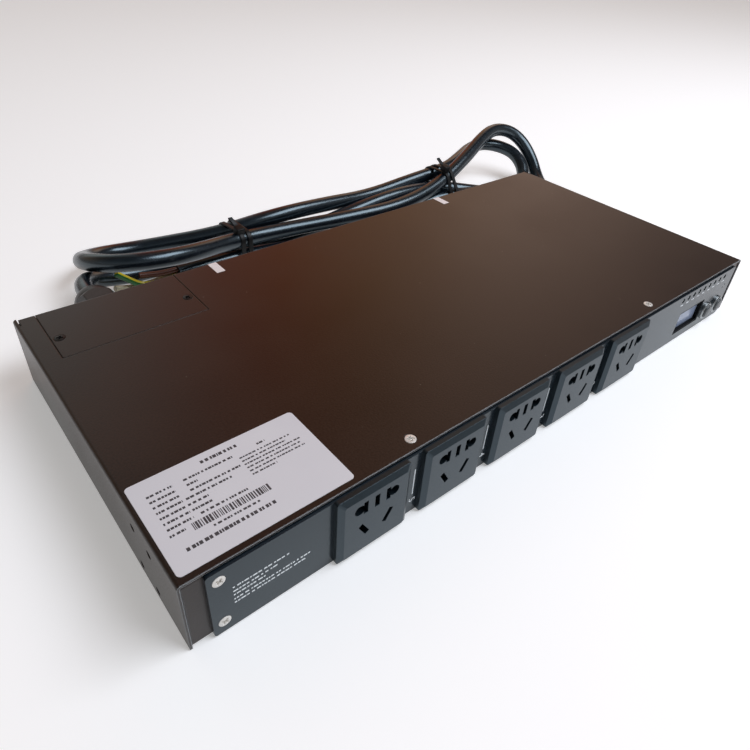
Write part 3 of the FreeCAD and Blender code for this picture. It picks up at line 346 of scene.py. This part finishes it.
def liquid_crystal():
    """Display glass over a liquid crystal and its backlight: pale blue-grey under a polished face, with a
    faint painted glow that lifts it in its shaded recess.
    """
    material, shader = start("display_glass_blue", Roughness=0.45, IOR=1.5, Coat_Weight=0.6,
                             Coat_Roughness=0.04, Emission_Color=linear("#8793ab"), Emission_Strength=0.12)
    place = add(material, "TexCoord", {}).outputs["Object"]
    cloud = add(material, "TexNoise", {"Vector": place, "Scale": per_size(18.0), "Detail": 1.0})
    tone = add(material, "MixRGB", {"Fac": cloud.outputs["Fac"], "Color1": linear("#76839d"),
                                    "Color2": linear("#8d9ab2")})
    feed(material, shader, Base_Color=tone.outputs["Color"])
    return material


def paper():
    """Matt white paper of the floor: it takes the object's shadow, and looks a little lighter to the
    camera and in reflections than the light on it would make it."""
    material, shader = start("floor_paper", Base_Color=linear("#fafafa"), Roughness=0.9,
                             Emission_Color=linear("#ffffff"))
    path = add(material, "LightPath", {}).outputs
    direct = add(material, "Math", {0: path["Is Camera Ray"], 1: path["Is Glossy Ray"]}, operation="ADD")
    seen = add(material, "Math", {0: direct.outputs["Value"], 1: path["Is Transmission Ray"]},
               operation="ADD")
    glow = add(material, "Math", {0: seen.outputs["Value"], 1: FLOOR_GLOW}, operation="MULTIPLY")
    feed(material, shader, Emission_Strength=glow.outputs["Value"])
    return material


def full_turn(count):
    """Angles in radians, evenly spaced once round."""
    return np.linspace(0, 2 * np.pi, count, endpoint=False)


def skin(rings, closed=False):
    """Surface through rings of points: quads join each ring to the next. The end rings are capped,
    or, where it is closed, the last ring joins the first."""
    rows, columns = rings.shape[:2]
    row = np.arange(rows if closed else rows - 1)[:, None]
    column = np.arange(columns)[None, :]
    after = (row + 1) % rows
    beside = (column + 1) % columns
    corners = [row * columns + column, row * columns + beside,
               after * columns + beside, after * columns + column]
    faces = np.stack(corners, -1).reshape(-1, 4).tolist()
    if not closed:
        faces.append(list(range(columns))[::-1])
        faces.append(list(range((rows - 1) * columns, rows * columns)))
    return rings.reshape(-1, 3), faces


def slabs(boxes):
    """Thin boxes, each from its low and high corner: eight corners and six faces."""
    corner = np.array([(i >> 2 & 1, i >> 1 & 1, i & 1) for i in range(8)])
    vertices = np.array(boxes, float)[:, corner, np.arange(3)].reshape(-1, 3)
    sides = np.array([(0, 1, 3, 2), (4, 6, 7, 5), (0, 4, 5, 1), (2, 3, 7, 6), (0, 2, 6, 4), (1, 5, 7, 3)])
    faces = (np.arange(len(boxes))[:, None, None] * 8 + sides).reshape(-1, 4).tolist()
    return vertices, faces


def piece(name, parts, material):
    """New piece on the case from parts of vertices in millimetres and faces: its place is in its
    mesh, its normals point outwards and its sharp edges stay sharp."""
    counts = np.cumsum([0] + [len(vertices) for vertices, faces in parts])
    faces = [[int(shift) + i for i in face] for shift, (_, part) in zip(counts, parts) for face in part]
    mesh = bpy.data.meshes.new(name)
    mesh.from_pydata((np.concatenate([vertices for vertices, _ in parts]) * MM).tolist(), [], faces)
    shell = bmesh.new()
    shell.from_mesh(mesh)
    bmesh.ops.recalc_face_normals(shell, faces=shell.faces)
    shell.to_mesh(mesh)
    shell.free()
    mesh.polygons.foreach_set("use_smooth", np.ones(len(mesh.polygons), bool))
    mesh.set_sharp_from_angle(angle=math.radians(SHARP_ANGLE))
    mesh.materials.append(material)
    made = bpy.data.objects.new(name, mesh)
    bpy.context.scene.collection.objects.link(made)
    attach(made, "case")
    return made


def behind(points):
    """Points whose depth is counted from the case's back face, in the frame's own millimetres."""
    return [(x, case_back + y, z) for x, y, z in points]


def spline(name, points):
    """Curve of one open NURBS spline with these control points in millimetres."""
    curve = bpy.data.curves.new(name, "CURVE")
    curve.dimensions = "3D"
    curve.resolution_u = SMOOTH_ALONG
    line = curve.splines.new("NURBS")
    line.points.add(len(points) - 1)
    for point, place in zip(line.points, points):
        point.co = (*(value * MM for value in place), 1.0)
    line.order_u = 3
    line.use_endpoint_u = True
    made = bpy.data.objects.new(name, curve)
    bpy.context.scene.collection.objects.link(made)
    return made


def points_along(curve):
    """Points in millimetres along a curve that has no thickness yet."""
    bpy.context.view_layer.update()
    mesh = bpy.data.meshes.new_from_object(curve)
    flat = np.empty(len(mesh.vertices) * 3)
    mesh.vertices.foreach_get("co", flat)
    bpy.data.meshes.remove(mesh)
    return flat.reshape(-1, 3) / MM


def core(name, material):
    """Insulated core: circles carried square to the line of its route, level round the line. It
    starts a little inside the sheath and runs straight out of it."""
    across, up = CORE_ROUTES[name][0]
    x, y, z = LEAD_END
    first = [(x + CORE_INSIDE, y + across, z + up), (x - CORE_STRAIGHT, y + across, z + up)]
    guide = spline(name + "_line", behind(first + CORE_ROUTES[name][1:]))
    line = points_along(guide)
    bpy.data.objects.remove(guide)
    along = np.gradient(line, axis=0)
    along /= np.linalg.norm(along, axis=1)[:, None]
    level = np.cross(along, (0, 0, 1))
    level /= np.linalg.norm(level, axis=1)[:, None]
    rise = np.cross(level, along)
    angle = full_turn(24)
    rings = line[:, None] + CORE_SIZE / 2 * (
        np.cos(angle)[None, :, None] * level[:, None] + np.sin(angle)[None, :, None] * rise[:, None])
    made = piece(name + "_insulation", [skin(rings)], material)
    around = made.data.attributes.new("around", "FLOAT", "POINT")
    around.data.foreach_set("value", np.tile(np.cos(angle - STRIPE_FACING), len(line)))
    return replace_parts(made, name)


def strands_at(line, x):
    """Depth and height of each place where the lead crosses the plane at x."""
    before, after = line[:-1], line[1:]
    crosses = (before[:, 0] - x) * (after[:, 0] - x) < 0
    before, after = before[crosses], after[crosses]
    share = ((x - before[:, 0]) / (after[:, 0] - before[:, 0]))[:, None]
    return (before + share * (after - before))[:, 1:]


def tie_band(line, x):
    """Band round the strands at x: for each direction, the strand that lies furthest that way, plus its
    radius. A flat section with eased corners is carried round that outline."""
    centres = strands_at(line, x)
    angle = full_turn(96)
    way = np.stack([np.cos(angle), np.sin(angle)], -1)
    outline = centres[np.argmax(centres @ way.T, axis=0)] + LEAD_SIZE / 2 * way
    half, thick, ease = TIE_WIDE / 2, TIE_THICK, TIE_EASE
    wide = np.array([-half, half, half, half - ease, ease - half, -half])
    out = np.array([0, 0, thick - ease, thick, thick, thick - ease])
    rings = np.empty((len(angle), len(wide), 3))
    rings[..., 0] = x + wide
    rings[..., 1:] = outline[:, None] + out[None, :, None] * way[:, None]
    rings[..., 2] = np.maximum(rings[..., 2], FLOOR_CLEAR)
    return skin(rings, closed=True), outline, way


def tie_head(place, way):
    """Head of a tie: a superellipsoid, so a box with rounded edges, standing on the band. It is a sphere
    whose sines and cosines are raised to a low power, each with its sign kept."""
    wide, tall, long = TIE_HEAD
    lift = np.linspace(-TIE_HEAD_LIFT, TIE_HEAD_LIFT, 14)
    angle = full_turn(32)

    def eased(value):
        return np.sign(value) * np.abs(value) ** TIE_HEAD_POWER

    u = eased(np.cos(lift))[:, None] * eased(np.cos(angle))[None] * wide / 2
    v = eased(np.cos(lift))[:, None] * eased(np.sin(angle))[None] * long / 2
    w = np.broadcast_to(eased(np.sin(lift))[:, None] * tall / 2, u.shape)
    outward = np.array([0, *way])
    beside = np.array([0, -way[1], way[0]])
    middle = place + outward * (TIE_THICK + tall / 2 - TIE_HEAD_SUNK)
    sideways = np.array([1.0, 0, 0])
    return skin(middle + u[..., None] * sideways + v[..., None] * beside + w[..., None] * outward)


def tie_tail(place, way):
    """Cut tail of a tie: a thin strip that leaves its head and lifts away from the strands, by the
    square of the distance."""
    outward = np.array([0, *way])
    beside = np.array([0, -way[1], way[0]])
    sideways = np.array([1.0, 0, 0])
    share = np.linspace(0, 1, 12)[:, None]
    line = place + outward * (TIE_THICK + TAIL_START + TAIL_LIFT * share ** 2) - beside * TAIL_LONG * share
    line = line - TAIL_DRIFT * sideways * share ** 2
    wide = TAIL_WIDE / 2 * np.array([-1, 1, 1, -1])
    thick = TAIL_THICK / 2 * np.array([-1, -1, 1, 1])
    return skin(line[:, None] + wide[None, :, None] * sideways + thick[None, :, None] * outward)


def tie(name, line, material):
    """Cable tie of two turns, with its head and cut tail at the first."""
    parts = []
    for x in TIE_BANDS[name]:
        band, outline, way = tie_band(line, x)
        parts.append(band)
    spot = round(TIE_HEAD_ANGLE / 360 * len(way))
    place = np.array([TIE_BANDS[name][0], *outline[spot]])
    parts.append(tie_head(place, way[spot]))
    parts.append(tie_tail(place, way[spot]))
    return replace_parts(piece(name + "_strap", parts, material), name)


def ramp(value):
    """Smooth step from 0 to 1."""
    share = np.clip(value, 0, 1)
    return share * share * (3 - 2 * share)


def screw(place, facing):
    """Raised countersunk screw: rings of a low dome with a cross pressed into it, then its cone and
    shank. The cross is where a point lies within an arm's width of one axis and its length of the
    other. Each screw is stopped at an angle of its own, taken from its x."""
    dome = np.linspace(HEAD_MIDDLE, HEAD_RADIUS, 22)
    radii = np.concatenate([dome, [HEAD_RADIUS, SHANK_RADIUS, SHANK_RADIUS]])
    angle = full_turn(64)
    x = radii[:, None] * np.cos(angle)
    y = radii[:, None] * np.sin(angle)

    def arm(long, wide):
        end = ramp((CROSS_LONG - np.abs(long)) / CROSS_END_EASE)
        return end * ramp((CROSS_WIDE - np.abs(wide)) / CROSS_SIDE_EASE + 0.5)

    height = HEAD_DOME * (1 - (radii / HEAD_RADIUS) ** 2)[:, None]
    height = height - CROSS_DEEP * np.maximum(arm(x, y), arm(y, x))
    height[-3:] = [[-HEAD_RIM], [-CONE_DEEP], [-SCREW_LONG]]
    out = np.array(FACING[facing], float)
    level = np.array([1.0, 0, 0])
    along = math.cos(place[0]) * level + math.sin(place[0]) * np.cross(out, level)
    across = np.cross(out, along)
    return skin(np.array(place) + x[..., None] * along + y[..., None] * across + height[..., None] * out)


def screws(name, material):
    """One group of screws in place of its node."""
    parts = [screw(place[:3], place[3]) for place in SCREWS[name]]
    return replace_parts(piece(name + "_heads", parts, material), name)


def dashes(first, long, lengths, gaps, draw):
    """Both ends of each dash in a line of print: uneven lengths with gaps between them."""
    ends = []
    x = first
    while x < first + long:
        wide = min(draw.uniform(*lengths), first + long - x)
        ends.append((x, x + wide))
        x += wide + draw.choice(gaps)
    return ends


def label_line(x, y, long, tall, draw):
    """Boxes of one line of dashes on the label."""
    return [((left, y - tall / 2, label_top), (right, y + tall / 2, label_top + INK))
            for left, right in dashes(x, long, LABEL_DASH, LABEL_GAPS, draw)]


def label_print(material):
    """Rows of plain dashes and a field of upright stripes on the label."""
    draw = np.random.default_rng(LABEL_SEED)
    boxes = label_line(*LABEL_TITLE, draw)
    for row, (x, long) in enumerate(LABEL_VALUES):
        y = LABEL_VALUE_Y - LABEL_VALUE_PITCH * row
        boxes += label_line(LABEL_NAME_X, y, LABEL_NAME_LONG, LABEL_VALUE_TALL, draw)
        boxes += label_line(x, y, long, LABEL_VALUE_TALL, draw)
    boxes += label_line(*LABEL_NOTE_TITLE, draw)
    for row, long in enumerate(LABEL_NOTE):
        y = LABEL_NOTE_Y - LABEL_NOTE_PITCH * row
        boxes += label_line(LABEL_NOTE_X, y, long, LABEL_NOTE_TALL, draw)
    boxes += label_line(*STRIPES_NAME, draw)
    x, end = STRIPES_X
    low, high = STRIPES_Y
    while x < end:
        wide = draw.choice(STRIPE_WIDTHS)
        boxes.append(((x, low, label_top), (x + wide, high, label_top + INK)))
        x += wide + draw.choice(STRIPE_GAPS)
    boxes += label_line(*STRIPES_FOOT, draw)
    boxes += label_line(*LABEL_FOOT, draw)
    return piece("label_print", [slabs(boxes)], material)


def plate_mark(left, right, low, high):
    """Box of one printed mark on the front plate's face."""
    return (left, plate_front - INK, low), (right, plate_front, high)


def plate_print(material):
    """Plain marks on the front plate: dashes at the left, a rule beside each socket, ticks under the
    lamps."""
    draw = np.random.default_rng(PLATE_SEED)
    boxes = []
    for z, long in PLATE_ROWS:
        for left, right in dashes(PLATE_ROW_X, long, PLATE_DASH, PLATE_GAPS, draw):
            boxes.append(plate_mark(left, right, z - PLATE_ROW_TALL / 2, z + PLATE_ROW_TALL / 2))
    for i in range(SOCKET_COUNT):
        x = NUMBER_X + SOCKET_PITCH * i
        boxes.append(plate_mark(x - RULE_WIDE / 2, x + RULE_WIDE / 2, *RULE_SPAN))
    wide, tall = LAMP_MARK
    for i in range(LAMP_COUNT):
        x = LAMP_X + LAMP_PITCH * i
        boxes.append(plate_mark(x - wide / 2, x + wide / 2, LAMP_MARK_Z - tall / 2, LAMP_MARK_Z + tall / 2))
    return piece("plate_print", [slabs(boxes)], material)


def socket_number(i, material):
    """Plain number beside a socket, read from above downwards: a text made a mesh, then put in place."""
    text = bpy.data.curves.new("number", "FONT")
    text.body = str(SOCKET_COUNT - i)
    text.size = NUMBER_TALL
    text.align_x = "CENTER"
    text.align_y = "CENTER"
    text.extrude = INK / 2
    guide = bpy.data.objects.new("number", text)
    bpy.context.scene.collection.objects.link(guide)
    bpy.context.view_layer.update()
    mesh = bpy.data.meshes.new_from_object(guide)
    bpy.data.objects.remove(guide)
    spot = Vector((NUMBER_X + SOCKET_PITCH * i, plate_front - INK / 2, NUMBER_Z))
    across, upright, out = Vector((0, 0, -1)), Vector((1, 0, 0)), Vector((0, -1, 0))
    on_plate = Matrix((across, upright, out)).transposed().to_4x4()
    mesh.transform(Matrix.Scale(MM, 4) @ Matrix.Translation(spot) @ on_plate)
    mesh.materials.append(material)
    made = bpy.data.objects.new("socket_number_%d" % (SOCKET_COUNT - i), mesh)
    bpy.context.scene.collection.objects.link(made)
    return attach(made, "case")


def paper_floor():
    """Square of paper just under the object."""
    reach, level = FLOOR_REACH * MM, -FLOOR_DROP * MM
    corners = [(-reach, -reach, level), (reach, -reach, level),
               (reach, reach, level), (-reach, reach, level)]
    mesh = bpy.data.meshes.new("floor")
    mesh.from_pydata(corners, [], [(0, 1, 2, 3)])
    mesh.materials.append(paper())
    floor = bpy.data.objects.new("floor", mesh)
    bpy.context.scene.collection.objects.link(floor)


def room():
    """World of soft walls: the bearing of a direction picks the wall's colour, which gives way to plain
    grey towards the horizon, and the light falls off overhead."""
    world = bpy.data.worlds.new("studio")
    world.use_nodes = True
    ray = add(world, "SeparateXYZ", {"Vector": add(world, "TexCoord", {}).outputs["Generated"]}).outputs
    bearing = add(world, "Math", {0: ray["Y"], 1: ray["X"]}, operation="ARCTAN2")
    share = add(world, "MapRange", {"Value": bearing.outputs["Value"], "From Min": -math.pi,
                                    "From Max": math.pi})
    walls = add(world, "ValToRGB", {"Fac": share.outputs["Result"]})
    stops = walls.color_ramp.elements
    for degrees, colour in WALLS:
        stop = stops.new((degrees + 180) / 360)
        stop.color = linear(colour)
    for stop in (stops[0], stops[-1]):
        stop.color = linear(WALLS[0][1])
    walls.color_ramp.interpolation = "EASE"
    strength = add(world, "MapRange", {"Value": ray["Z"], "From Min": DIMMING_SPAN[0],
                                       "From Max": DIMMING_SPAN[1], "To Min": ROOM_STRENGTH[0],
                                       "To Max": ROOM_STRENGTH[1]})
    above = add(world, "MapRange", {"Value": ray["Z"], "From Min": HORIZON_SPAN[0],
                                    "From Max": HORIZON_SPAN[1]})
    seen = add(world, "MixRGB", {"Fac": above.outputs["Result"], "Color1": linear(HORIZON),
                                 "Color2": walls.outputs["Color"]})
    background = world.node_tree.nodes["Background"]
    feed(world, background, Color=seen.outputs["Color"], Strength=strength.outputs["Result"])
    return world


def key_light():
    """One large soft lamp, turned to its aim."""
    lamp = bpy.data.lights.new("key", "AREA")
    lamp.shape = "RECTANGLE"
    lamp.size, lamp.size_y = KEY_SIZE
    lamp.energy = KEY_WATTS
    lamp.color = linear(KEY_COLOUR)[:3]
    made = bpy.data.objects.new("key", lamp)
    made.location = KEY_PLACE
    made.rotation_euler = (Vector(KEY_AIM) - Vector(KEY_PLACE)).to_track_quat("-Z", "Y").to_euler()
    bpy.context.scene.collection.objects.link(made)


def camera_in_place():
    """Camera at the photograph's angle: its back points away from the object by the turn and the rise,
    then it rolls about that line."""
    camera = bpy.data.objects.new("camera", bpy.data.cameras.new("camera"))
    camera.data.lens = CAMERA_LENS
    camera.data.shift_x, camera.data.shift_y = CAMERA_SHIFT
    turn, rise = math.radians(CAMERA_TURN), math.radians(CAMERA_RISE)
    back = Vector((math.sin(turn) * math.cos(rise), -math.cos(turn) * math.cos(rise), math.sin(rise)))
    roll = Quaternion((0, 0, 1), math.radians(CAMERA_ROLL))
    camera.rotation_mode = "QUATERNION"
    camera.rotation_quaternion = back.to_track_quat("Z", "Y") @ roll
    camera.location = Vector(CAMERA_PLACE) * MM
    bpy.context.scene.collection.objects.link(camera)
    return camera


# Zinc plate on steel: bright and faintly warm, with a fine soft grain
zinc = grained("zinc_plate", "#e4e1db", "#f2efe9", 0.7, 0.30, 0.42, 0.01, Metallic=0.35)
# Black oxide on steel: a thin dark satin skin
black_oxide = grained("black_oxide_steel", "#0d0d0d", "#191918", 0.7, 0.35, 0.5, 0.01, Metallic=0.3)
# Nylon moulded in a fine-eroded tool: near black and satin
nylon = grained("moulded_nylon_black", "#101112", "#191a1b", 1.2, 0.34, 0.48, 0.02)
# Nylon of cable ties: blacker, with less shine
tie_nylon = grained("tie_nylon_black", "#08090a", "#0f1011", 1.2, 0.4, 0.55, 0.02, Specular_IOR_Level=0.3)
# Moulded ABS: dark slate with a bluish satin sheen
abs_grey = grained("moulded_abs_grey", "#0b1116", "#11181d", 0.8, 0.30, 0.40, 0.012,
                   Specular_IOR_Level=0.85, Specular_Tint=linear("#c4e0f0"))
# Fine powder coat of the front plate: slate, smoother and glossier than the case
slate = grained("powder_coat_slate", "#10171e", "#171f26", 0.8, 0.18, 0.26, 0.008, IOR=1.6,
                Specular_Tint=linear("#cbe3ee"))
# Screen ink: opaque cool white, with a faint painted glow so that it reads on the dark plate
glowing_white_ink = grained("screen_ink_white_glowing", "#dfe6ea", "#eef3f5", 0.6, 0.45, 0.6, 0.0,
                    Emission_Color=linear("#dfe8ee"), Emission_Strength=0.15)
# Thermal print: a soft, slightly faded black
black_ink = grained("thermal_print_black", "#3a373a", "#555155", 0.5, 0.5, 0.65, 0.0)
# Drawn PVC insulation: plain colours with a dull shine
brown_pvc = grained("pvc_core_brown", "#4a2413", "#5a2e1a", 1.5, 0.32, 0.42, 0.01)
cream_pvc = grained("pvc_core_cream", "#c9bd9c", "#d9cfb2", 1.5, 0.32, 0.42, 0.01)
sheath = pvc_sheath()

SOCKETS = range(1, SOCKET_COUNT + 1)
FINISHES = [
    (powder_coat(), ["chassis_tray", "top_cover", "access_cover", "access_ledge"]),
    (slate, ["front_plate"]),
    (abs_grey, ["socket_%d" % i for i in SOCKETS]),
    # Stamped brass: yellow metal, dulled by handling
    (grained("stamped_brass", "#b58a45", "#caa15a", 1.5, 0.28, 0.42, 0.01, Metallic=1.0),
     ["socket_%d_contacts" % i for i in SOCKETS] + ["terminal_screws"]),
    # Rolled copper bar: warm red metal with a slight tarnish
    (grained("copper_bar", "#b0643f", "#c47a52", 2.0, 0.3, 0.45, 0.01, Metallic=1.0), ["bus_bars"]),
    # Solder mask over a board: deep green lacquer
    (grained("solder_mask_green", "#0f3d22", "#14502d", 1.5, 0.3, 0.42, 0.01),
     ["panel_board", "network_board", "relay_board"]),
    (zinc, ["panel_posts", "board_posts", "button_nuts", "ear_nuts", "earth_stud", "network_jack"]),
    (nylon, ["gland_body", "gland_nut", "gland_locknut", "bar_holders", "button_switches", "terminal_block",
             "lamp_holder", "supply_module"]),
    # Moulded display collar: black, made dead black with hardly any shine as painted shade in the display's
    # recess
    (grained("moulded_frame_black", "#020406", "#05080b", 1.0, 0.5, 0.6, 0.01, Specular_IOR_Level=0.15),
     ["display_frame"]),
    # Moulded relay case: satin blue
    (grained("moulded_relay_blue", "#1d3f86", "#264c9a", 1.5, 0.35, 0.45, 0.01), ["relays"]),
    # Ferrite under a dip coat: dull dark grey
    (grained("coated_ferrite", "#3f4042", "#505154", 1.0, 0.45, 0.6, 0.02), ["current_rings"]),
    # Moulded neoprene: matt black
    (grained("neoprene_rubber", "#151515", "#1e1e1e", 1.0, 0.6, 0.75, 0.02), ["gland_seal"]),
    # Backlight diffuser: even milky white
    (grained("backlight_white", "#dcdcd8", "#e6e6e2", 2.0, 0.4, 0.5, 0.0), ["display_backlight"]),
    (liquid_crystal(), ["display_glass"]),
    # Cast epoxy lens: clear and milky, with a sharp highlight
    (grained("epoxy_lens", "#cfd2d0", "#dcdedb", 1.0, 0.1, 0.18, 0.0, Transmission_Weight=0.15),
     ["indicator_lamps"]),
    # Nickel plate on a turned ring: grey metal with a soft shine
    (grained("nickel_plate", "#8f9394", "#9da1a2", 0.8, 0.30, 0.38, 0.003, Metallic=1.0),
     ["button_1_bezel", "button_2_bezel"]),
    # Lacquered button cap: plain satin grey
    (grained("satin_grey_cap", "#43484a", "#4f5456", 1.0, 0.30, 0.38, 0.004),
     ["button_1_cap", "button_2_cap"]),
    # Label film: smooth cool white with slow clouds
    (grained("label_film_white", "#e5e4e9", "#e9e8ec", 40.0, 0.36, 0.42, 0.0), ["rating_label"]),
    # Seal paper: matt, faintly pink white with a paper tooth
    (grained("seal_paper", "#f6eae8", "#fdf3f1", 1.0, 0.6, 0.7, 0.02), ["seal_strips"]),
    (sheath, ["lead_entry"]),
    (brown_pvc, ["inner_cores"]),
]
for material, names in FINISHES:
    for name in names:
        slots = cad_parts[name].data.materials
        slots.clear()
        slots.append(material)

# Mains lead with its ties and the cores at its cut end
lead = spline("mains_lead", behind(LEAD_ROUTE))
lead_line = points_along(lead)
lead.data.bevel_depth = LEAD_SIZE / 2 * MM
lead.data.bevel_resolution = SMOOTH_ROUND
lead.data.use_fill_caps = True
lead.data.materials.append(sheath)
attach(lead, "case")
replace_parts(lead, "lead_out", "lead_tail", "lead_hank")
on_lead = [tie(name, lead_line, tie_nylon) for name in TIE_BANDS]
on_lead.append(core("core_live", brown_pvc))
on_lead.append(core("core_earth", earth_core()))
on_lead.append(core("core_neutral", cream_pvc))
gland = ("gland_body", "gland_nut", "gland_seal", "gland_locknut", "lead_entry")
on_lead += [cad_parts[name] for name in gland]

# Screws and print
screws("cover_screws", zinc)
screws("plate_screws", zinc)
screws("access_screws", black_oxide)
label_print(black_ink)
plate_print(glowing_white_ink)
for i in range(SOCKET_COUNT):
    socket_number(i, glowing_white_ink)

# Studio
paper_floor()
key_light()
bpy.context.scene.world = room()
bpy.context.scene.camera = camera_in_place()
bpy.context.scene.view_settings.view_transform = "Standard"

bpy.context.view_layer.update()
